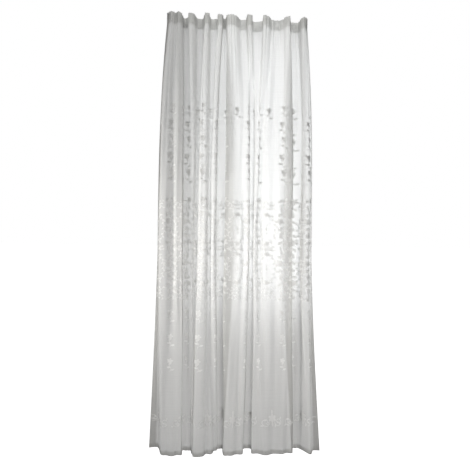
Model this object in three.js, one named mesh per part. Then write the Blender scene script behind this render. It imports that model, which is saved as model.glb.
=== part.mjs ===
// Sheer voile curtain: one long panel of thin cloth, gathered on a tape and hanging in soft uneven folds.
// Millimetres, +Z up. X runs along the hung width, and the front of the cloth faces -Y.
// The origin is the middle of the top edge, the line that the curtain hangs from.
import * as THREE from "three";

// Sizes down the drop, measured from the top edge
const DROP = 2450;
const TOP_BAND = 60;
const MIDDLE = 1300;
const HEM = 22;
const TAPE_TOP = 7;
const TAPE_HEIGHT = 50;

// Thicknesses: single cloth, the turned and stitched edges, and the woven tape
const CLOTH = 1.5;
const TURNED = 2.4;
const TAPE = 1.2;
const SEWN_GAP = 0.4;

// Height over which a turned edge steps down to single cloth, and the longest step along a fold
const STEP_DOWN = 4;
const LONGEST_STEP = 19;

// How fast the pleats relax below the tape, and how late the folds open out to the hem
const RELAX = 3;
const OPEN_OUT = 1.3;

// Each row is one crest or hollow, from the left side of the cloth to the right.
// It gives the left bend, the right bend and the depth (minus is forward) at three heights.
const COLUMNS = [
  "name",
  "headLeft", "headRight", "headDepth",
  "midLeft", "midRight", "midDepth",
  "hemLeft", "hemRight", "hemDepth",
];
const FOLDS = [
  ["left side edge", -392, -384, -18, -434, -427, 14, -476, -428, 72],
  ["first crest, left half", -378, -356, -36, -418, -386, -26, -396, -368, -14],
  ["first crest, dip", -350, -342, -24, -358, -342, -3, -350, -332, -26],
  ["first crest, right half", -336, -318, -36, -322, -290, -26, -314, -286, -12],
  ["first hollow", -302, -282, 24, -298, -272, 23, -282, -260, 30],
  ["second pleat", -268, -254, -30, -252, -238, 8, -250, -236, 28],
  ["second hollow", -218, -194, 27, -226, -212, 23, -230, -227, 4],
  ["second crest", -181, -164, -36, -204, -164, -27, -222, -168, -34],
  ["shallow groove", -150, -116, 20, -153, -143, 4, -148, -122, -10],
  ["third pleat", -107, -88, -30, -132, -111, -22, -106, -90, 20],
  ["third hollow", -82, -66, 12, -104, -6, 24, -78, -56, 40],
  ["third crest, left half", -56, -20, -31, -62, 14, -30, -49, -4, -30],
  ["third crest, right half", 18, 46, 16, 40, 76, -27, 22, 52, -18],
  ["fourth pleat, hollow below", 56, 74, -38, 84, 103, 20, 64, 104, 31],
  ["fourth crest, left edge", 86, 138, 25, 108, 122, -24, 108, 140, -14],
  ["fourth crest, crease", 144, 162, -38, 132, 146, -10, 170, 192, -31],
  ["fourth crest, face", 198, 248, 4, 162, 258, -26, 226, 280, -24],
  ["fourth crest, right edge", 274, 291, -38, 290, 322, -28, 308, 337, -14],
  ["fifth hollow", 306, 350, 19, 276, 388, 24, 347, 384, 31],
  ["fifth crest", 364, 380, -36, 367, 410, -26, 434, 446, -34],
  ["right side edge", 386, 392, -22, 428, 438, 2, 459, 500, 6],
];

// Sections down the relaxing stretch, crowded towards the tape, and down the opening stretch
const RELAX_SECTIONS = 9;
const CROWDING = 1.8;
const OPEN_SECTIONS = 4;

function spread(from, to, count, power) {
  return Array.from({ length: count }, (_, i) => from + (to - from) * ((i + 1) / count) ** power);
}

// Drops at which the cloth is sectioned
const SECTIONS = [
  0,
  TOP_BAND,
  TOP_BAND + STEP_DOWN,
  ...spread(TOP_BAND + STEP_DOWN, MIDDLE, RELAX_SECTIONS, CROWDING),
  ...spread(MIDDLE, DROP - HEM - STEP_DOWN, OPEN_SECTIONS, 1),
  DROP - HEM,
  DROP,
];

function readRow(row) {
  return Object.fromEntries(COLUMNS.map((column, i) => [column, row[i]]));
}

// Share of the way from the heading's shape to the middle shape, and from there to the hem's
function shares(drop) {
  const relaxed = THREE.MathUtils.clamp((drop - TOP_BAND) / (MIDDLE - TOP_BAND), 0, 1);
  const opened = THREE.MathUtils.clamp((drop - MIDDLE) / (DROP - MIDDLE), 0, 1);
  return { relax: 1 - (1 - relaxed) ** RELAX, open: opened ** OPEN_OUT };
}

function between(fold, what, { relax, open }) {
  const upper = THREE.MathUtils.lerp(fold[`head${what}`], fold[`mid${what}`], relax);
  return THREE.MathUtils.lerp(upper, fold[`hem${what}`], open);
}

// The bends of the cloth in plan at one height, two for each crest or hollow
function bends(drop) {
  const share = shares(drop);
  return FOLDS.map(readRow).flatMap((fold) => {
    const depth = between(fold, "Depth", share);
    return ["Left", "Right"].map((side) => new THREE.Vector3(between(fold, side, share), depth, 0));
  });
}

// Steps between neighbouring bends, the same at every height so that the sections match
function stepCounts() {
  const plans = [0, MIDDLE, DROP].map(bends);
  return plans[0].slice(1).map((_, i) => {
    const longest = Math.max(...plans.map((plan) => plan[i].distanceTo(plan[i + 1])));
    return Math.ceil(longest / LONGEST_STEP);
  });
}

const STEPS = stepCounts();

// The plan line of the cloth at one height, as points with the direction that the cloth faces
function section(drop) {
  const points = bends(drop);
  const curve = new THREE.CatmullRomCurve3(points, false, "centripetal");
  const line = STEPS.flatMap((count, i) => {
    return Array.from({ length: count }, (_, j) => curve.getPoint((i + j / count) / STEPS.length));
  });
  line.push(points.at(-1).clone());
  return line.map((point, i) => {
    const along = line[Math.min(i + 1, line.length - 1)].clone().sub(line[Math.max(i - 1, 0)]).normalize();
    return { point, facing: new THREE.Vector3(along.y, -along.x, 0) };
  });
}

// A closed sheet through the given drops: a front skin, a back skin and the four edges between them
function sheet(drops, behind, thicknessAt) {
  const rows = drops.map(section);
  const columns = rows[0].length;
  const positions = [];
  const index = [];
  for (const side of [0.5, -0.5]) {
    rows.forEach((row, r) => {
      row.forEach(({ point, facing }, c) => {
        const offset = side * thicknessAt(drops[r], c, columns) - behind;
        positions.push(point.x + facing.x * offset, point.y + facing.y * offset, -drops[r]);
      });
    });
  }
  const backStart = rows.length * columns;
  const front = (r, c) => r * columns + c;
  const back = (r, c) => backStart + front(r, c);
  const quad = (a, b, c, d) => index.push(a, b, c, a, c, d);
  const lastRow = rows.length - 1;
  const lastColumn = columns - 1;
  for (let r = 0; r < lastRow; r += 1) {
    for (let c = 0; c < lastColumn; c += 1) {
      quad(front(r, c), front(r + 1, c), front(r + 1, c + 1), front(r, c + 1));
      quad(back(r, c), back(r, c + 1), back(r + 1, c + 1), back(r + 1, c));
    }
    quad(front(r, 0), back(r, 0), back(r + 1, 0), front(r + 1, 0));
    quad(front(r, lastColumn), front(r + 1, lastColumn), back(r + 1, lastColumn), back(r, lastColumn));
  }
  for (let c = 0; c < lastColumn; c += 1) {
    quad(front(0, c), front(0, c + 1), back(0, c + 1), back(0, c));
    quad(front(lastRow, c), back(lastRow, c), back(lastRow, c + 1), front(lastRow, c + 1));
  }
  const geometry = new THREE.BufferGeometry();
  geometry.setAttribute("position", new THREE.Float32BufferAttribute(positions, 3));
  geometry.setIndex(index);
  geometry.computeVertexNormals();
  return geometry;
}

// The panel: its top band, bottom hem and narrow side hems are turned over and stitched, so they are thicker
function voilePanel() {
  const thickness = (drop, column, columns) => {
    const turnedAcross = drop <= TOP_BAND || drop >= DROP - HEM;
    const turnedAtSide = column <= STEPS[0] || column >= columns - 1 - STEPS.at(-1);
    return turnedAcross || turnedAtSide ? TURNED : CLOTH;
  };
  const material = new THREE.MeshStandardMaterial({ color: 0xe9e9e5, roughness: 0.85, metalness: 0 });
  const mesh = new THREE.Mesh(sheet(SECTIONS, 0, thickness), material);
  mesh.name = "voile_panel";
  return mesh;
}

// The tape that gathers the top edge, sewn flat to the back of the turned band
function headingTape() {
  const behind = TURNED / 2 + SEWN_GAP + TAPE / 2;
  const drops = [TAPE_TOP, TAPE_TOP + TAPE_HEIGHT];
  const material = new THREE.MeshStandardMaterial({ color: 0xdededa, roughness: 0.8, metalness: 0 });
  const mesh = new THREE.Mesh(sheet(drops, behind, () => TAPE), material);
  mesh.name = "heading_tape";
  return mesh;
}

const curtain = new THREE.Group();
curtain.add(voilePanel());
curtain.add(headingTape());

export default curtain;
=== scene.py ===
import math

import bpy
import numpy as np
from mathutils import Matrix, Vector


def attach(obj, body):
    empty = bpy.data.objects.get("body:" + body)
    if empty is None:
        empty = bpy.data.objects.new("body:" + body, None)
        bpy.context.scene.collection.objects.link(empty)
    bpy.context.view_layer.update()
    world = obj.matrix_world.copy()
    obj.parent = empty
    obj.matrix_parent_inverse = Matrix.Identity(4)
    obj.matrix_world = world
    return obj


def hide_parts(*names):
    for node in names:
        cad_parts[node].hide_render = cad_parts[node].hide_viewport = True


# Sheer voile curtain: the fine cloth with its turned hems, the gathering tape, the stitching and
# the white embroidery. The cloth is worked out in millimetres, and Blender's objects are in metres.
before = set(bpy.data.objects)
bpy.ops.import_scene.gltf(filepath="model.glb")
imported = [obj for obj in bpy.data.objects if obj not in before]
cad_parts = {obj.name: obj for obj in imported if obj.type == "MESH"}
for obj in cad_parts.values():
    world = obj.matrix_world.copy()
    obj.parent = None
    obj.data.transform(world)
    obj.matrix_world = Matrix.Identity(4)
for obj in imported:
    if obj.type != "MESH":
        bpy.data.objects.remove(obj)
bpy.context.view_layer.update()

MM = 0.001

# Camera: eye at mid height, a little to the left of the curtain
CAMERA_DISTANCE = 2.2
CAMERA_LEFT_DEG = 3.3
CAMERA_HEIGHT = -1.2236
CAMERA_ROLL_DEG = 0.7
CAMERA_LENS = 29.9
SENSOR = 36.0

# Soft rectangular lights. Each row gives the name, the place, the point aimed at, the width and
# height, all in metres, then the watts, the spread in degrees and the colour.
LIGHTS = (
    ("near back", (0.22, 0.35, -0.82), (0.22, 0.0, -0.82), (0.8, 1.6), 5.8, 115, (0.95, 0.97, 1.0)),
    ("far back", (0.1, 1.2, -1.0), (0.1, 0.0, -0.9), (0.8, 0.8), 1.0, 90, (0.99, 1.0, 0.97)),
    ("heading", (0.0, -0.5, 0.25), (0.0, 0.0, -0.03), (0.9, 0.1), 2.8, 160, (1.0, 1.0, 0.98)),
    ("side", (-2.6, -1.4, -1.1), (-0.2, 0.0, -1.25), (0.5, 0.6), 7.3, 55, (1.0, 0.98, 0.95)),
    ("front", (0.6, -3.0, -1.5), (0.12, 0.0, -1.85), (1.2, 1.0), 7.0, 60, (1.0, 0.99, 0.97)),
)

# How far the floor reaches each way and how far it lies below the hem, in metres
FLOOR_REACH = 40.0
FLOOR_GAP = 0.02

# Colours, linear, and the strengths of the even light and of the floor's own light
CLOTH_COLOUR = (0.80, 0.80, 0.785, 1.0)
THREAD_COLOUR = (0.83, 0.83, 0.82, 1.0)
TAPE_COLOUR = (0.78, 0.78, 0.75, 1.0)
FLOOR_COLOUR = (0.86, 0.86, 0.85, 1.0)
AMBIENT_COLOUR = (0.98, 0.98, 1.0, 1.0)
WHITE = (1.0, 1.0, 1.0, 1.0)
AMBIENT = 0.10
FLOOR_GLOW = 1.0

# The cut cloth, and sizes down the drop measured from the top edge
CUT_WIDTH = 1500.0
DROP = 2450.0
TOP_BAND = 60.0
MIDDLE = 1300.0
BOTTOM_HEM = 22.0
SIDE_HEM = 12.0
TAPE_TOP = 7.0
TAPE_HEIGHT = 50.0

# How fast the pleats relax below the tape, and how late the folds open out to the hem
RELAX = 3.0
OPEN_OUT = 1.3

# Each row is one crest or hollow, from the left side of the cloth to the right.
# It gives the left bend, the right bend and the depth (minus is forward) at three heights.
COLUMNS = (
    "name",
    "headLeft", "headRight", "headDepth",
    "midLeft", "midRight", "midDepth",
    "hemLeft", "hemRight", "hemDepth",
)
FOLDS = (
    ("left side edge", -392, -384, -18, -434, -427, 14, -476, -428, 72),
    ("first crest, left half", -378, -356, -36, -418, -386, -26, -396, -368, -14),
    ("first crest, dip", -350, -342, -24, -358, -342, -3, -350, -332, -26),
    ("first crest, right half", -336, -318, -36, -322, -290, -26, -314, -286, -12),
    ("first hollow", -302, -282, 24, -298, -272, 23, -282, -260, 30),
    ("second pleat", -268, -254, -30, -252, -238, 8, -250, -236, 28),
    ("second hollow", -218, -194, 27, -226, -212, 23, -230, -227, 4),
    ("second crest", -181, -164, -36, -204, -164, -27, -222, -168, -34),
    ("shallow groove", -150, -116, 20, -153, -143, 4, -148, -122, -10),
    ("third pleat", -107, -88, -30, -132, -111, -22, -106, -90, 20),
    ("third hollow", -82, -66, 12, -104, -6, 24, -78, -56, 40),
    ("third crest, left half", -56, -20, -31, -62, 14, -30, -49, -4, -30),
    ("third crest, right half", 18, 46, 16, 40, 76, -27, 22, 52, -18),
    ("fourth pleat, hollow below", 56, 74, -38, 84, 103, 20, 64, 104, 31),
    ("fourth crest, left edge", 86, 138, 25, 108, 122, -24, 108, 140, -14),
    ("fourth crest, crease", 144, 162, -38, 132, 146, -10, 170, 192, -31),
    ("fourth crest, face", 198, 248, 4, 162, 258, -26, 226, 280, -24),
    ("fourth crest, right edge", 274, 291, -38, 290, 322, -28, 308, 337, -14),
    ("fifth hollow", 306, 350, 19, 276, 388, 24, 347, 384, 31),
    ("fifth crest", 364, 380, -36, 367, 410, -26, 434, 446, -34),
    ("right side edge", 386, 392, -22, 428, 438, 2, 459, 500, 6),
)
FOLD_NAMES = [row[0] for row in FOLDS]

# Soft creases, listed one by one. Each row gives the fold that the crease lies on, how far across that
# fold it is (0 left bend, 1 right bend), where it starts and ends down the drop, how deep it is
# (minus is a ridge) and how wide.
CREASES = (
    ("first crest, left half", 0.6, 60, 1500, 2.5, 9),
    ("first crest, right half", 0.0, 100, 1750, -5.0, 5),
    ("first crest, right half", 0.5, 200, 2300, 3.0, 7),
    ("first crest, right half", 0.8, 900, 2430, 2.0, 6),
    ("second crest", 0.35, 120, 1900, 3.0, 7),
    ("second crest", 0.7, 60, 900, -2.5, 8),
    ("third hollow", 0.25, 60, 1500, -4.0, 12),
    ("third hollow", 0.6, 300, 2100, 4.0, 14),
    ("third crest, left half", 0.55, 60, 1300, -4.0, 14),
    ("third crest, right half", 0.1, 900, 2430, 4.0, 13),
    ("third crest, right half", 0.6, 1500, 2430, -3.0, 9),
    ("fourth crest, left edge", 0.9, 60, 700, 4.0, 10),
    ("fourth crest, face", 0.2, 60, 1200, -5.0, 16),
    ("fourth crest, face", 0.55, 500, 2430, 5.0, 22),
    ("fourth crest, face", 0.85, 60, 1900, -4.0, 14),
    ("fourth crest, right edge", 0.4, 1000, 2430, 3.0, 10),
    ("fifth hollow", 0.3, 60, 1600, 4.0, 14),
    ("fifth hollow", 0.7, 400, 2430, -4.0, 14),
    ("fifth crest", 0.5, 60, 2200, 2.5, 8),
)

# How far a crease leans to and fro, over what scale down the drop, and how long its ends fade
CREASE_LEAN = 6.0
CREASE_LEAN_SCALE = 260.0
CREASE_FADE_IN = 160.0
CREASE_FADE_OUT = 220.0

# Grid of the cloth: longest step along a fold, and steps down the drop, finer near the tape
LONGEST_STEP = 4.6
TAPE_STEP = 3.0
FINE_DROP = 180.0
FINE_STEP = 6.0
COARSE_STEP = 17.5
HEM_ROWS = 3

# Least spacing of the curve's knots, so that bends that meet don't divide by zero
LEAST_KNOT = 0.01

# Small gathers and broader puckers drawn up by the tape: pitch, height in the band, and fade below it
GATHER_PITCH = 13.5
GATHER_HEIGHT = 1.4
GATHER_REACH = 90.0
PUCKER_PITCH = 31.0
PUCKER_HEIGHT = 3.0
PUCKER_REACH = 230.0

# What makes the gathers uneven. Each row gives a shift in radians, its scale along the cloth and
# where its wave starts. The puckers shift by a multiple of it.
SHIFTS = (
    (0.6, 15.5, 0.0),
    (0.35, 6.7, 1.0),
)
PUCKER_SHIFT = 2.0

# Long shallow waves of the cloth. Each row gives the height, the scale along the cloth, the scale
# down the drop (minus leans the other way) and the start. The last value is where they are full.
WAVES = (
    (2.2, 27.0, 310.0, 0.0),
    (1.6, 14.0, -205.0, 1.3),
    (1.1, 8.5, 120.0, 2.1),
)
FULL_WAVES_DROP = 500.0

# Gap between the layers of a turned hem, gap between the turned band and the tape, and the
# thickness of the tape
LAYER_GAP = 0.8
TAPE_GAP = 1.1
TAPE_THICKNESS = 0.8

# The three gathering cords: places down the drop, radius, points round each, and the height and
# reach of the line that each presses through the band
CORD_DROPS = (15.0, 33.0, 51.0)
CORD_RADIUS = 1.1
CORD_POINTS = 6
CORD_RELIEF = 1.3
CORD_REACH = 2.6

# Thread: its height above the cloth at its edges and its middle, a stem's height and width,
# and how far inside the sides of the cloth the pattern is cut off
THREAD_CLEARANCE = 0.4
THREAD_RISE = 0.9
STEM_RISE = 0.72
STEM_WIDTH = 2.2
SIDE_MARGIN = 1.0

# Outline of a stitched shape as a power: under 1 is fuller than an oval, over 1 is more pointed
PETAL_POINT = 0.8
OVAL_POINT = 1.0
LEAF_POINT = 1.3

# Blossom, as shares of its size: how far out its petals lie, their length and width, and its
# centre. The last value is the centre's height above the cloth.
PETAL_REACH = 0.32
PETAL_LENGTH = 0.5
PETAL_WIDTH = 0.34
CENTRE_SIZE = 0.24
CENTRE_RISE = 1.26

# Leaf on a stem: its reach from the stem and its width as shares of its length, and its lean
# away from the stem in radians
LEAF_REACH = 0.55
LEAF_WIDTH = 0.5
LEAF_LEAN = 0.9

# Spray, as shares of its size: sway of the stem, pitch and length of the leaves, and the blossom.
# Then the blossom's turn in radians and its place above the tip, and the steps along the stem.
SPRIG_SWAY = 0.1
SPRIG_PITCH = 0.26
SPRIG_LEAF = 0.38
SPRIG_BLOSSOM = 0.5
SPRIG_TURN = 0.3
SPRIG_TIP = 3.0
SPRIG_STEPS = 8

# The pattern repeats across the cloth: a column, then the motifs midway to the next column
REPEATS = 10
REPEAT = CUT_WIDTH / REPEATS
FIRST_COLUMN = 115.0

# Sprays of a column above and below its vine: place down the drop, place beside the column, and size
UPPER_SPRIGS = (
    (560.0, 5.0, 52.0),
    (655.0, -5.0, 56.0),
    (745.0, 5.0, 60.0),
    (850.0, -5.0, 64.0),
    (940.0, 5.0, 68.0),
)
LOWER_SPRIGS = (
    (1715.0, 0.0, 56.0),
    (1850.0, 0.0, 56.0),
    (1985.0, 0.0, 56.0),
)

# Spray midway between two columns: place down the drop, and size
MIDWAY_SPRIG_DROP = 575.0
MIDWAY_SPRIG_SIZE = 50.0

# Vine: start and end down the drop, sway, length of one wave and step along the stem. Then the
# blossoms, each turned further than the last, and the leafy curls at its turns.
VINE_START = 1010.0
VINE_END = 1600.0
VINE_SWAY = 15.0
VINE_WAVE = 78.0
VINE_STEP = 6.0
VINE_BLOSSOM = 36.0
VINE_BLOSSOM_TURN = 0.4
VINE_CURL_OUT = 6.0
VINE_CURL_RADIUS = 17.0
VINE_CURL_PITCH = 17.0
VINE_CURL_LEAF = 16.0

# Leaves at a turn of the vine. Each row gives the place outwards from the middle of the column,
# the place down from the turn, the heading in radians, the length and the width. The inner leaf
# is on the hollow side of every turn.
TURN_LEAVES = (
    (5.0, -9.0, 1.0, 32.0, 16.0),
    (7.0, 9.0, 2.0, 27.0, 14.0),
)
INNER_LEAF = (-15.0, 3.0, -0.9, 28.0, 14.0)

# Medallion: places down the drop, size and steps of its ring, and its leaves. A blossom and two
# curls lie inside each end of the ring, the curls on both sides of its middle line.
MEDALLION_DROPS = (1190.0, 1408.0)
MEDALLION_WIDTH = 84.0
MEDALLION_HEIGHT = 168.0
MEDALLION_STEPS = 48
MEDALLION_LEAF = 15.0
MEDALLION_LEAN = 0.7
MEDALLION_BLOSSOM = 26.0
MEDALLION_BLOSSOM_IN = 4.0
MEDALLION_CURL_OUT = 16.0
MEDALLION_CURL_IN = 20.0
MEDALLION_CURL_RADIUS = 9.0

# Bud inside the medallion: place down from its middle, length and width of each leaf
BUD = (
    (0.0, 20.0, 10.0),
    (19.0, 10.0, 6.0),
    (-19.0, 10.0, 6.0),
)

# Bands of crossed stems: place down the drop and height of each, pitch and length of the leaves,
# and the dots, which lie above and below the middle by a share of the height
BANDS = (
    (1060.0, 44.0),
    (1300.0, 22.0),
    (1545.0, 70.0),
)
BAND_STEPS = 6
BAND_PITCH = 14.0
BAND_LEAF = 12.0
DOT = 9.0
DOT_DROP = 0.42

# Border along the bottom: the blossom, the leaves above and below it (place down from the line of
# the border, length and width), and the leafy scroll on each side
BORDER_DROP = 2260.0
BORDER_BLOSSOM = 46.0
BORDER_BLOSSOM_UP = 10.0
BORDER_LEAVES = (
    (-46.0, 28.0, 13.0),
    (24.0, 26.0, 12.0),
)
SCROLL_OUT = 40.0
SCROLL_DOWN = 8.0
SCROLL_RADIUS = 27.0
SCROLL_PITCH = 30.0
SCROLL_LEAF = 17.0
SCROLL_WIDTH = 3.6

# Share of its radius that a curl loses from its start to its end
CURL_TIGHTENING = 0.8

# Single stitches: pitch, length, width, height, and how far in from an edge their rows lie
STITCH_PITCH = 4.2
STITCH_LENGTH = 3.0
STITCH_WIDTH = 0.8
STITCH_RISE = 0.65
STITCH_INSET = 3.0
SIDE_STITCH_INSET = 2.5

# Pitch of the threads of the voile, and the sizes across and down the cloth of the streaks in
# the threads that run down and in those that run across
VOILE_PITCH = 0.9
DOWN_STREAKS = (3.0, 260.0)
ACROSS_STREAKS = (200.0, 3.5)


def smooth_step(value, start, end):
    """A share that rises from 0 at the start to 1 at the end and is level at both."""
    share = np.clip((value - start) / (end - start), 0.0, 1.0)
    return share * share * (3.0 - 2.0 * share)


# The plan of the cloth

def fold_sizes(height):
    """Left bend, right bend and depth of every fold at one height of the table: head, mid or hem."""
    picked = [COLUMNS.index(height + size) for size in ("Left", "Right", "Depth")]
    return np.array([[row[k] for k in picked] for row in FOLDS], float)


def bends(drops):
    """Plan points of the cloth's bends, two for each fold, as an array [drop, bend, x and depth]."""
    relaxed = np.clip((drops - TOP_BAND) / (MIDDLE - TOP_BAND), 0.0, 1.0)
    relax = (1.0 - (1.0 - relaxed) ** RELAX)[:, None, None]
    opened = np.clip((drops - MIDDLE) / (DROP - MIDDLE), 0.0, 1.0)
    open_out = (opened ** OPEN_OUT)[:, None, None]
    head, middle, hem = (fold_sizes(height)[None] for height in ("head", "mid", "hem"))
    upper = head + (middle - head) * relax
    left, right, depth = np.moveaxis(upper + (hem - upper) * open_out, 2, 0)
    points = np.stack([np.stack([left, depth], -1), np.stack([right, depth], -1)], 2)
    return points.reshape(len(drops), -1, 2)


def step_counts():
    """Steps between neighbouring bends, the same at every height so that the rows match."""
    plans = bends(np.array([0.0, MIDDLE, DROP]))
    longest = np.linalg.norm(np.diff(plans, axis=1), axis=2).max(0)
    return np.ceil(longest / LONGEST_STEP).astype(int)


def curve_through(points, counts):
    """A smooth line through the bends, with centripetal knots and counts[i] steps in stretch i."""
    first = 2 * points[:, :1] - points[:, 1:2]
    last = 2 * points[:, -1:] - points[:, -2:-1]
    padded = np.concatenate([first, points, last], 1)
    line = []
    for i, count in enumerate(counts):
        p0, p1, p2, p3 = (padded[:, i + k] for k in range(4))
        pairs = ((p0, p1), (p1, p2), (p2, p3))
        spans = [np.linalg.norm(end - start, axis=1)[:, None] for start, end in pairs]
        k0, k1, k2 = (np.maximum(np.sqrt(span), LEAST_KNOT) for span in spans)
        out1 = ((p1 - p0) / k0 - (p2 - p0) / (k0 + k1) + (p2 - p1) / k1) * k1
        out2 = ((p2 - p1) / k1 - (p3 - p1) / (k1 + k2) + (p3 - p2) / k2) * k1
        for t in np.arange(count) / count:
            line.append(
                p1 * (2 * t**3 - 3 * t**2 + 1)
                + out1 * (t**3 - 2 * t**2 + t)
                + p2 * (3 * t**2 - 2 * t**3)
                + out2 * (t**3 - t**2)
            )
    line.append(points[:, -1])
    return np.stack(line, 1)


def grid_normals(grid):
    """Unit normals of a grid of points, facing the front of the cloth."""
    across = np.gradient(grid, axis=1)
    down = np.gradient(grid, axis=0)
    normals = np.cross(down, across)
    return normals / np.linalg.norm(normals, axis=2, keepdims=True)


class Cloth:
    """The hung cloth as a fine grid. It also finds where a place on the flat cloth hangs."""

    def __init__(self):
        hem = DROP - BOTTOM_HEM
        band = np.arange(0.0, TOP_BAND, TAPE_STEP)
        fine = np.arange(TOP_BAND, FINE_DROP, FINE_STEP)
        coarse = np.linspace(FINE_DROP, hem, int((hem - FINE_DROP) / COARSE_STEP) + 1)
        self.drops = np.concatenate([band, fine, coarse, np.linspace(hem, DROP, HEM_ROWS + 1)[1:]])
        counts = step_counts()
        self.bend_columns = np.concatenate([[0], np.cumsum(counts)])
        plan = curve_through(bends(self.drops), counts)
        heights = np.broadcast_to(-self.drops[:, None, None], plan.shape[:2] + (1,))
        grid = np.concatenate([plan, heights], 2)
        steps = np.linalg.norm(np.diff(plan, axis=1), axis=2).mean(0)
        self.across = np.concatenate([[0.0], np.cumsum(steps)])
        self.across *= CUT_WIDTH / self.across[-1]
        relief = self.gathers() + self.cord_lines() + self.unevenness() + self.creases()
        self.grid = grid + grid_normals(grid) * relief[:, :, None]
        self.normals = grid_normals(self.grid)

    def gathers(self):
        """Irregular little pleats drawn up by the tape, which fade below it."""
        s = self.across[None]
        below = np.maximum(self.drops - TOP_BAND, 0.0)[:, None]
        shift = sum(size * np.sin(s / scale + start) for size, scale, start in SHIFTS)
        small = np.sin(2 * math.pi * s / GATHER_PITCH + shift)
        broad = np.sin(2 * math.pi * s / PUCKER_PITCH + PUCKER_SHIFT * shift)
        gathers = GATHER_HEIGHT * small * np.exp(-below / GATHER_REACH)
        puckers = PUCKER_HEIGHT * broad * np.exp(-below / PUCKER_REACH)
        return gathers + puckers

    def cord_lines(self):
        """Faint level ridges where the cords of the tape press through the band."""
        lines = sum(np.exp(-(((self.drops - drop) / CORD_REACH) ** 2)) for drop in CORD_DROPS)
        return CORD_RELIEF * lines[:, None]

    def unevenness(self):
        """Long shallow waves that keep the folds from running dead straight."""
        s = self.across[None]
        t = self.drops[:, None]
        waves = sum(
            height * np.sin(s / across + t / down + start)
            for height, across, down, start in WAVES
        )
        return smooth_step(t, TOP_BAND, FULL_WAVES_DROP) * waves

    def creases(self):
        """The soft creases of the table, each fading in and out along its length."""
        relief = np.zeros((len(self.drops), len(self.across)))
        for name, share, top, bottom, depth, width in CREASES:
            bend = 2 * FOLD_NAMES.index(name)
            left, right = self.bend_columns[bend:bend + 2]
            centre = self.across[left] + share * (self.across[right] - self.across[left])
            lean = CREASE_LEAN * np.sin(self.drops / CREASE_LEAN_SCALE + left)
            profile = np.exp(-(((self.across[None] - centre - lean[:, None]) / width) ** 2))
            fade_in = smooth_step(self.drops, top, top + CREASE_FADE_IN)
            fade_out = smooth_step(self.drops, bottom - CREASE_FADE_OUT, bottom)
            relief -= depth * profile * (fade_in * (1 - fade_out))[:, None]
        return relief

    def place(self, flat):
        """Points (across, down, height above the cloth) on the flat cloth, in the air and in metres."""
        flat = np.asarray(flat, float)
        column = np.interp(flat[:, 0], self.across, np.arange(len(self.across)))
        row = np.interp(flat[:, 1], self.drops, np.arange(len(self.drops)))
        c0 = np.minimum(column.astype(int), len(self.across) - 2)
        r0 = np.minimum(row.astype(int), len(self.drops) - 2)
        fc = (column - c0)[:, None]
        fr = (row - r0)[:, None]

        def blend(field):
            upper = field[r0, c0] * (1 - fc) + field[r0, c0 + 1] * fc
            lower = field[r0 + 1, c0] * (1 - fc) + field[r0 + 1, c0 + 1] * fc
            return upper * (1 - fr) + lower * fr

        return (blend(self.grid) + blend(self.normals) * flat[:, 2:]) * MM


# Meshes

def new_mesh(name, points, faces, uvs=None):
    """A smoothly shaded piece in metres, with its places on the flat cloth as its UV map."""
    mesh = bpy.data.meshes.new(name)
    mesh.from_pydata([tuple(p) for p in points], [], faces)
    mesh.polygons.foreach_set("use_smooth", [True] * len(mesh.polygons))
    if uvs is not None:
        layer = mesh.uv_layers.new(name="OFBake")
        corners = np.zeros(len(mesh.loops), np.int32)
        mesh.loops.foreach_get("vertex_index", corners)
        layer.data.foreach_set("uv", np.asarray(uvs, np.float32)[corners].ravel())
    mesh.update()
    piece = bpy.data.objects.new(name, mesh)
    bpy.context.scene.collection.objects.link(piece)
    return piece


def grid_faces(rows, columns):
    """The four-cornered faces of a grid of points that are numbered row by row."""
    corner = np.arange((rows - 1) * columns).reshape(rows - 1, columns)[:, :-1].ravel()
    return np.stack([corner, corner + columns, corner + columns + 1, corner + 1], 1).tolist()


def build_panel(cloth):
    """The cloth with its hems turned over behind, as one sheet."""
    rows = len(cloth.drops)
    columns = len(cloth.across)
    top = int(np.searchsorted(cloth.drops, TOP_BAND))
    bottom = int(np.searchsorted(cloth.drops, DROP - BOTTOM_HEM))
    left = int(np.searchsorted(cloth.across, SIDE_HEM))
    right = int(np.searchsorted(cloth.across, CUT_WIDTH - SIDE_HEM))
    row_order = [*range(top, -1, -1), *range(rows), *range(rows - 1, bottom - 1, -1)]
    row_turned = [1] * (top + 1) + [0] * rows + [1] * (rows - bottom)
    column_order = [*range(left, -1, -1), *range(columns), *range(columns - 1, right - 1, -1)]
    column_turned = [1] * (left + 1) + [0] * columns + [1] * (columns - right)
    turned = LAYER_GAP * (np.array(row_turned)[:, None] + np.array(column_turned)[None])
    picked = np.ix_(row_order, column_order)
    points = (cloth.grid[picked] - cloth.normals[picked] * turned[:, :, None]) * MM
    down = np.cumsum([0, *np.abs(np.diff(cloth.drops[row_order]))])
    along = np.cumsum([0, *np.abs(np.diff(cloth.across[column_order]))])
    uvs = np.stack(np.broadcast_arrays(along[None] / along[-1], 1 - down[:, None] / down[-1]), -1)
    faces = grid_faces(len(row_order), len(column_order))
    return new_mesh("voile_cloth", points.reshape(-1, 3), faces, uvs.reshape(-1, 2))


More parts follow.
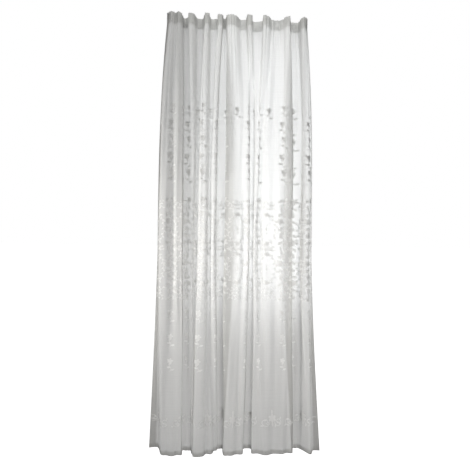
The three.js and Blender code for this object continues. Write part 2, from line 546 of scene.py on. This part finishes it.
def build_tape(cloth):
    """The tape behind the top band, with its three gathering cords woven in as ridges."""
    near = -(LAYER_GAP + TAPE_GAP)
    far = near - TAPE_THICKNESS
    profile = [(TAPE_TOP, near), (TAPE_TOP + TAPE_HEIGHT, near), (TAPE_TOP + TAPE_HEIGHT, far)]
    for drop in sorted(CORD_DROPS, reverse=True):
        for angle in np.linspace(0, math.pi, CORD_POINTS):
            profile.append((drop + CORD_RADIUS * math.cos(angle), far - CORD_RADIUS * math.sin(angle)))
    profile.append((TAPE_TOP, far))
    ring = len(profile)
    flat = [(s, t, h) for s in cloth.across for t, h in profile]
    faces = []
    for c in range(len(cloth.across) - 1):
        for k in range(ring):
            a = c * ring + k
            b = c * ring + (k + 1) % ring
            faces.append((a, b, b + ring, a + ring))
    last = (len(cloth.across) - 1) * ring
    faces.append(tuple(range(ring - 1, -1, -1)))
    faces.append(tuple(range(last, last + ring)))
    uvs = [(s / CUT_WIDTH, t / TAPE_HEIGHT) for s, t, _ in flat]
    return new_mesh("gathering_tape", cloth.place(flat), faces, uvs)


class Needlework:
    """Stitched shapes on the flat cloth, gathered into one mesh. Points are (across, down, height).

    A heading of zero points down the cloth, and a quarter turn points across it.
    """

    def __init__(self):
        self.points = []
        self.faces = []

    def lens(self, centre, heading, length, width, rise=THREAD_RISE, point=LEAF_POINT, sides=8, rings=2):
        """A filled shape with a domed middle: a leaf, a petal, a dot or one stitch."""
        start = len(self.points)
        across, down = math.sin(heading), math.cos(heading)
        for ring in range(rings):
            inward = ring / rings
            height = THREAD_CLEARANCE + (rise - THREAD_CLEARANCE) * math.sqrt(inward)
            for k in range(sides):
                angle = 2 * math.pi * k / sides
                along = 0.5 * (1 - inward) * length * math.cos(angle)
                swell = math.copysign(abs(math.sin(angle)) ** point, math.sin(angle))
                aside = 0.5 * (1 - inward) * width * swell
                self.points.append((
                    centre[0] + across * along + down * aside,
                    centre[1] + down * along - across * aside,
                    height,
                ))
        top = len(self.points)
        self.points.append((centre[0], centre[1], rise))
        for k in range(sides):
            following = (k + 1) % sides
            for outer in range(start, top - sides, sides):
                inner = outer + sides
                self.faces.append((outer + k, outer + following, inner + following, inner + k))
            self.faces.append((top - sides + k, top - sides + following, top))

    def stem(self, line, width=STEM_WIDTH):
        """A thin raised line of close stitches."""
        line = np.asarray(line, float)
        tangent = np.gradient(line, axis=0)
        tangent /= np.linalg.norm(tangent, axis=1, keepdims=True)
        start = len(self.points)
        for (s, t), (ds, dt) in zip(line, tangent):
            self.points.append((s - dt * width / 2, t + ds * width / 2, THREAD_CLEARANCE))
            self.points.append((s, t, STEM_RISE))
            self.points.append((s + dt * width / 2, t - ds * width / 2, THREAD_CLEARANCE))
        for i in range(len(line) - 1):
            for k in (0, 1):
                a = start + 3 * i + k
                self.faces.append((a, a + 3, a + 4, a + 1))

    def blossom(self, centre, size, petals=5, turn=0.0):
        """Petals around a domed centre."""
        for k in range(petals):
            heading = turn + 2 * math.pi * k / petals
            reach = PETAL_REACH * size
            petal = (centre[0] + reach * math.sin(heading), centre[1] + reach * math.cos(heading))
            self.lens(petal, heading, PETAL_LENGTH * size, PETAL_WIDTH * size, point=PETAL_POINT)
        disc = CENTRE_SIZE * size
        self.lens(centre, 0.0, disc, disc, rise=CENTRE_RISE, point=OVAL_POINT)

    def leafy_stem(self, line, pitch, leaf, lean=LEAF_LEAN, width=STEM_WIDTH):
        """A stem with leaves on alternate sides, all the way along."""
        line = np.asarray(line, float)
        self.stem(line, width)
        lengths = np.concatenate([[0], np.cumsum(np.linalg.norm(np.diff(line, axis=0), axis=1))])
        count = max(int(lengths[-1] / pitch), 1)
        for k in range(count):
            at = (k + 0.5) * lengths[-1] / count
            s, t = (np.interp(at, lengths, line[:, axis]) for axis in (0, 1))
            ahead_s, ahead_t = (np.interp(at + 1, lengths, line[:, axis]) for axis in (0, 1))
            side = 1 if k % 2 else -1
            heading = math.atan2(ahead_s - s, ahead_t - t) + side * lean
            reach = LEAF_REACH * leaf
            centre = (s + reach * math.sin(heading), t + reach * math.cos(heading))
            self.lens(centre, heading, leaf, LEAF_WIDTH * leaf)

    def piece(self, name, cloth):
        """The mesh of all stitches, cut off where the pattern runs past the sides of the cloth."""
        points = np.array(self.points)
        inside = np.abs(points[:, 0] - 0.5 * CUT_WIDTH) < 0.5 * CUT_WIDTH - SIDE_MARGIN
        faces = [face for face in self.faces if inside[list(face)].all()]
        used = np.unique(np.concatenate(faces))
        faces = [np.searchsorted(used, face).tolist() for face in faces]
        uvs = points[used, :2] / (CUT_WIDTH, DROP)
        return new_mesh(name, cloth.place(points[used]), faces, uvs)


# Embroidered motifs

def spiral(centre, radius, turns, hand, start_angle=0.0, steps=14):
    """Points of a curl that tightens as it turns. The hand is 1 or -1."""
    angle = np.linspace(0, 2 * math.pi * turns, steps)
    tightened = radius * (1 - angle / angle[-1] * CURL_TIGHTENING)
    return np.stack([
        centre[0] + tightened * np.cos(start_angle + hand * angle),
        centre[1] + tightened * np.sin(start_angle + hand * angle),
    ], 1)


def sprig(work, across, down, size):
    """A little upright spray: a stem with leaves on both sides and a blossom at its tip."""
    line = []
    for k in range(SPRIG_STEPS + 1):
        share = k / SPRIG_STEPS
        line.append((across + SPRIG_SWAY * size * math.sin(2 * math.pi * share), down - size * share))
    work.leafy_stem(line, SPRIG_PITCH * size, SPRIG_LEAF * size)
    tip_across, tip_down = line[-1]
    work.blossom((tip_across, tip_down - SPRIG_TIP), SPRIG_BLOSSOM * size, turn=SPRIG_TURN)


def turn_leaf(work, across, down, side, leaf):
    """One leaf of a table, at a turn of the vine to the given side (1 right, -1 left)."""
    out, below, heading, length, width = leaf
    work.lens((across + side * out, down + below), side * heading, length, width)


def vine(work, across):
    """A wandering stem whose turns carry a blossom, a leafy curl or two leaves, one after another."""
    drops = np.arange(VINE_START, VINE_END, VINE_STEP)
    sway = VINE_SWAY * np.sin(2 * math.pi * (drops - VINE_START) / VINE_WAVE)
    work.stem(np.stack([across + sway, drops], 1))
    for k in range(int(2 * (VINE_END - VINE_START) / VINE_WAVE)):
        side = (-1) ** k
        down = VINE_START + (k + 0.5) * VINE_WAVE / 2
        if k % 3 == 0:
            work.blossom((across + side * VINE_SWAY, down), VINE_BLOSSOM, turn=VINE_BLOSSOM_TURN * k)
        elif k % 3 == 1:
            centre = (across + side * VINE_CURL_OUT, down)
            curl = spiral(centre, VINE_CURL_RADIUS, turns=0.9, hand=side)
            work.leafy_stem(curl, VINE_CURL_PITCH, VINE_CURL_LEAF)
        else:
            for leaf in TURN_LEAVES:
                turn_leaf(work, across, down, side, leaf)
        turn_leaf(work, across, down, side, INNER_LEAF)


def column(work, across):
    """Sprays high up, then a wandering vine, then a few sprays again."""
    for down, beside, size in UPPER_SPRIGS:
        sprig(work, across + beside, down, size)
    vine(work, across)
    for down, beside, size in LOWER_SPRIGS:
        sprig(work, across + beside, down, size)


def medallion(work, across, down):
    """An oval ring of leaves with a blossom and two curls at its top and foot, and a bud inside."""
    angle = np.linspace(0, 2 * math.pi, MEDALLION_STEPS + 1)
    ring = np.stack([
        across + 0.5 * MEDALLION_WIDTH * np.sin(angle),
        down - 0.5 * MEDALLION_HEIGHT * np.cos(angle),
    ], 1)
    work.leafy_stem(ring, MEDALLION_LEAF, MEDALLION_LEAF, lean=MEDALLION_LEAN)
    for end in (-1, 1):
        foot = down + end * 0.5 * MEDALLION_HEIGHT
        work.blossom((across, foot - end * MEDALLION_BLOSSOM_IN), MEDALLION_BLOSSOM, petals=6)
        for side in (-1, 1):
            centre = (across + side * MEDALLION_CURL_OUT, foot - end * MEDALLION_CURL_IN)
            work.stem(spiral(centre, MEDALLION_CURL_RADIUS, turns=1.1, hand=side * end))
    for below, length, width in BUD:
        work.lens((across, down + below), 0.0, length, width)


def band(work, across, down, height):
    """A row of crossed stems, as wide as one medallion, with dots above, below and between them."""
    crosses = max(int(MEDALLION_WIDTH / height), 2)
    pitch = MEDALLION_WIDTH / crosses
    for k in range(crosses):
        left = across - 0.5 * MEDALLION_WIDTH + k * pitch
        for side in (-1, 1):
            shares = [i / BAND_STEPS for i in range(BAND_STEPS + 1)]
            line = [(left + pitch * share, down + side * height * (share - 0.5)) for share in shares]
            work.leafy_stem(line, BAND_PITCH, BAND_LEAF)
        for end in (-1, 1):
            dot = (left + pitch / 2, down + end * height * DOT_DROP)
            work.lens(dot, 0.0, DOT, DOT, point=OVAL_POINT)
        work.lens((left, down), 0.0, DOT, DOT, point=OVAL_POINT)


def border_motif(work, across):
    """A blossom between two facing scrolls."""
    work.blossom((across, BORDER_DROP - BORDER_BLOSSOM_UP), BORDER_BLOSSOM, petals=6)
    for below, length, width in BORDER_LEAVES:
        work.lens((across, BORDER_DROP + below), 0.0, length, width)
    for side in (-1, 1):
        centre = (across + side * SCROLL_OUT, BORDER_DROP + SCROLL_DOWN)
        start_angle = math.pi if side > 0 else 0.0
        scroll = spiral(centre, SCROLL_RADIUS, turns=1.3, hand=-side, start_angle=start_angle, steps=18)
        work.leafy_stem(scroll, SCROLL_PITCH, SCROLL_LEAF, width=SCROLL_WIDTH)


def repeats():
    """Places across the cloth of each column and of the motifs midway to the next column."""
    for k in range(-1, REPEATS):
        yield FIRST_COLUMN + k * REPEAT, FIRST_COLUMN + (k + 0.5) * REPEAT


def embroider(cloth):
    """All motifs, in columns and midway between them, and the border along the bottom."""
    work = Needlework()
    for across, midway in repeats():
        column(work, across)
        sprig(work, midway, MIDWAY_SPRIG_DROP, MIDWAY_SPRIG_SIZE)
        for down in MEDALLION_DROPS:
            medallion(work, midway, down)
        for down, height in BANDS:
            band(work, midway, down, height)
    for _, midway in repeats():
        border_motif(work, midway)
    return work.piece("white_embroidery", cloth)


def stitch(cloth):
    """Rows of single stitches along the hems and the two edges of the tape."""
    work = Needlework()
    tape_bottom = TAPE_TOP + TAPE_HEIGHT
    hem_top = DROP - BOTTOM_HEM

    def sew(across, down, heading):
        work.lens((across, down), heading, STITCH_LENGTH, STITCH_WIDTH, STITCH_RISE, sides=6, rings=1)

    for down in (TAPE_TOP + STITCH_INSET, tape_bottom - STITCH_INSET, hem_top + STITCH_INSET):
        for across in np.arange(STITCH_INSET, CUT_WIDTH - STITCH_INSET, STITCH_PITCH):
            sew(across, down, math.pi / 2)
    for across in (SIDE_HEM - SIDE_STITCH_INSET, CUT_WIDTH - SIDE_HEM + SIDE_STITCH_INSET):
        for down in np.arange(TOP_BAND + STITCH_INSET, hem_top, STITCH_PITCH):
            sew(across, down, 0.0)
    return work.piece("hem_stitching", cloth)


# Materials

class Nodes:
    """Short calls that add and link the nodes of one material."""

    def __init__(self, name):
        self.material = bpy.data.materials.new(name)
        self.material.use_nodes = True
        self.tree = self.material.node_tree
        self.tree.nodes.clear()
        self.output = self.tree.nodes.new("ShaderNodeOutputMaterial")

    def add(self, kind, values=None, **settings):
        node = self.tree.nodes.new(kind)
        for key, value in settings.items():
            setattr(node, key, value)
        for key, value in (values or {}).items():
            node.inputs[key].default_value = value
        return node

    def link(self, source, target, source_socket=0, target_socket=0):
        self.tree.links.new(source.outputs[source_socket], target.inputs[target_socket])

    def total(self, first, second, socket=0, use_clamp=False):
        """The sum of the same output of two nodes."""
        node = self.add("ShaderNodeMath", operation="ADD", use_clamp=use_clamp)
        self.link(first, node, socket, 0)
        self.link(second, node, socket, 1)
        return node

    def scaled(self, source, lowest, highest, least, most):
        """A value between lowest and highest, brought to between least and most."""
        limits = {"From Min": lowest, "From Max": highest, "To Min": least, "To Max": most}
        node = self.add("ShaderNodeMapRange", limits)
        self.link(source, node)
        return node

    def mix(self, first, second, share=0.5):
        """A mix of two shaders, with the share of the second one."""
        node = self.add("ShaderNodeMixShader", {"Fac": share})
        self.link(first, node, 0, 1)
        self.link(second, node, 0, 2)
        return node

    def finish(self, shader):
        self.link(shader, self.output)
        return self.material


def cloth_coordinates(nodes, across, down):
    """The flat cloth's own coordinates, in units of so many millimetres across and down."""
    uv = nodes.add("ShaderNodeUVMap", uv_map="OFBake")
    mapping = nodes.add("ShaderNodeMapping", {"Scale": (CUT_WIDTH / across, DROP / down, 1.0)})
    nodes.link(uv, mapping)
    return mapping


def threads(nodes, coordinates, direction):
    """Bands of threads one unit apart, as a height from 0 to 1."""
    wave = nodes.add(
        "ShaderNodeTexWave",
        {"Scale": 1 / math.pi, "Distortion": 0.6, "Detail": 1.0, "Detail Scale": 0.4},
        wave_type="BANDS", bands_direction=direction, wave_profile="SIN",
    )
    nodes.link(coordinates, wave)
    return wave


def streaks(nodes, size):
    """Thicker and thinner threads, as streaks of the given size across and down the cloth."""
    noise = nodes.add("ShaderNodeTexNoise", {"Scale": 1.0, "Detail": 3.0, "Roughness": 0.6})
    nodes.link(cloth_coordinates(nodes, *size), noise)
    return noise


def voile_material():
    """A sheer plain weave, a little thinner between its threads, that glows with light from behind."""
    nodes = Nodes("sheer_voile")
    weave = cloth_coordinates(nodes, VOILE_PITCH, VOILE_PITCH)
    crossing = nodes.total(threads(nodes, weave, "X"), threads(nodes, weave, "Y"), socket=1)

    # Streaks make the cloth denser and thinner, and threads are denser than the gaps between them
    slubs = nodes.total(streaks(nodes, DOWN_STREAKS), streaks(nodes, ACROSS_STREAKS))
    density = nodes.scaled(slubs, lowest=0.7, highest=1.3, least=0.79, most=0.86)
    cover = nodes.scaled(crossing, lowest=0.0, highest=2.0, least=-0.04, most=0.04)
    opacity = nodes.total(density, cover, use_clamp=True)

    bump = nodes.add("ShaderNodeBump", {"Strength": 0.25, "Distance": 0.0004})
    nodes.link(crossing, bump, 0, "Height")
    body = nodes.add("ShaderNodeBsdfPrincipled", {
        "Base Color": CLOTH_COLOUR, "Roughness": 0.8, "Sheen Weight": 0.25, "Sheen Roughness": 0.5,
        "Specular IOR Level": 0.3,
    })
    nodes.link(bump, body, 0, "Normal")
    glow = nodes.add("ShaderNodeBsdfTranslucent", {"Color": CLOTH_COLOUR})
    nodes.link(bump, glow, 0, "Normal")
    sheer = nodes.mix(nodes.add("ShaderNodeBsdfTransparent"), nodes.mix(body, glow))
    nodes.link(opacity, sheer)
    return nodes.finish(sheer)


def thread_material(name, colour, pitch, glow_share, cover):
    """Close stitches or a woven tape: fine ridges on off-white thread that lets some light through."""
    nodes = Nodes(name)
    ridges = threads(nodes, cloth_coordinates(nodes, pitch, pitch), "DIAGONAL")
    bump = nodes.add("ShaderNodeBump", {"Strength": 0.5, "Distance": 0.0004})
    nodes.link(ridges, bump, 1, "Height")
    body = nodes.add("ShaderNodeBsdfPrincipled", {
        "Base Color": colour, "Roughness": 0.55, "Sheen Weight": 0.2, "Specular IOR Level": 0.4,
    })
    nodes.link(bump, body, 0, "Normal")
    glow = nodes.add("ShaderNodeBsdfTranslucent", {"Color": colour})
    thread = nodes.mix(body, glow, glow_share)
    return nodes.finish(nodes.mix(nodes.add("ShaderNodeBsdfTransparent"), thread, cover))


def floor_material():
    """Pale and matt, with an even light of its own."""
    nodes = Nodes("pale_floor")
    body = nodes.add("ShaderNodeBsdfPrincipled", {
        "Base Color": FLOOR_COLOUR, "Roughness": 0.9,
        "Emission Color": WHITE, "Emission Strength": FLOOR_GLOW,
    })
    return nodes.finish(body)


# Stage

def add_camera():
    data = bpy.data.cameras.new("camera")
    data.lens = CAMERA_LENS
    data.sensor_width = SENSOR
    camera = bpy.data.objects.new("camera", data)
    left = math.radians(CAMERA_LEFT_DEG)
    place = Vector((-math.sin(left), -math.cos(left), 0.0)) * CAMERA_DISTANCE
    place.z = CAMERA_HEIGHT
    turn = Matrix.Rotation(-left, 4, "Z") @ Matrix.Rotation(math.pi / 2, 4, "X")
    roll = Matrix.Rotation(math.radians(CAMERA_ROLL_DEG), 4, "Z")
    camera.matrix_world = Matrix.Translation(place) @ turn @ roll
    bpy.context.scene.collection.objects.link(camera)
    bpy.context.scene.camera = camera


def add_light(name, place, aim, size, watts, spread_deg, colour):
    data = bpy.data.lights.new(name, "AREA")
    data.shape = "RECTANGLE"
    data.size, data.size_y = size
    data.energy = watts
    data.spread = math.radians(spread_deg)
    data.color = colour
    light = bpy.data.objects.new(name, data)
    turn = (Vector(aim) - Vector(place)).to_track_quat("-Z", "Y")
    light.matrix_world = Matrix.Translation(place) @ turn.to_matrix().to_4x4()
    light.visible_camera = False
    bpy.context.scene.collection.objects.link(light)


def add_world():
    """White behind the curtain, and a dimmer even light all around it."""
    world = bpy.data.worlds.new("studio")
    world.use_nodes = True
    tree = world.node_tree
    tree.nodes.clear()
    seen = tree.nodes.new("ShaderNodeBackground")
    seen.inputs["Color"].default_value = WHITE
    seen.inputs["Strength"].default_value = 1.0
    around = tree.nodes.new("ShaderNodeBackground")
    around.inputs["Color"].default_value = AMBIENT_COLOUR
    around.inputs["Strength"].default_value = AMBIENT
    path = tree.nodes.new("ShaderNodeLightPath")
    mix = tree.nodes.new("ShaderNodeMixShader")
    output = tree.nodes.new("ShaderNodeOutputWorld")
    tree.links.new(path.outputs["Is Camera Ray"], mix.inputs[0])
    tree.links.new(around.outputs[0], mix.inputs[1])
    tree.links.new(seen.outputs[0], mix.inputs[2])
    tree.links.new(mix.outputs[0], output.inputs[0])
    bpy.context.scene.world = world


def add_floor():
    level = -DROP * MM - FLOOR_GAP
    ways = ((-1, -1), (1, -1), (1, 1), (-1, 1))
    corners = [(x * FLOOR_REACH, y * FLOOR_REACH, level) for x, y in ways]
    floor = new_mesh("floor", corners, [(0, 1, 2, 3)])
    floor.data.materials.append(floor_material())
    floor.visible_diffuse = False
    floor.visible_transmission = False


def dress(piece, material):
    """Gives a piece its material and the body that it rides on."""
    piece.data.materials.append(material)
    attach(piece, "root")


add_camera()
add_world()
add_floor()
for light in LIGHTS:
    add_light(*light)

cloth = Cloth()
panel = build_panel(cloth)
dress(panel, voile_material())
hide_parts("voile_panel")

tape = build_tape(cloth)
dress(tape, thread_material("woven_tape", TAPE_COLOUR, pitch=1.2, glow_share=0.5, cover=0.12))
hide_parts("heading_tape")

embroidery = embroider(cloth)
satin = thread_material("satin_stitch", THREAD_COLOUR, pitch=0.8, glow_share=0.17, cover=1.0)
dress(embroidery, satin)

stitching = stitch(cloth)
sewing = thread_material("sewing_thread", THREAD_COLOUR, pitch=0.8, glow_share=0.5, cover=0.6)
dress(stitching, sewing)

bpy.context.scene.view_settings.view_transform = "Standard"
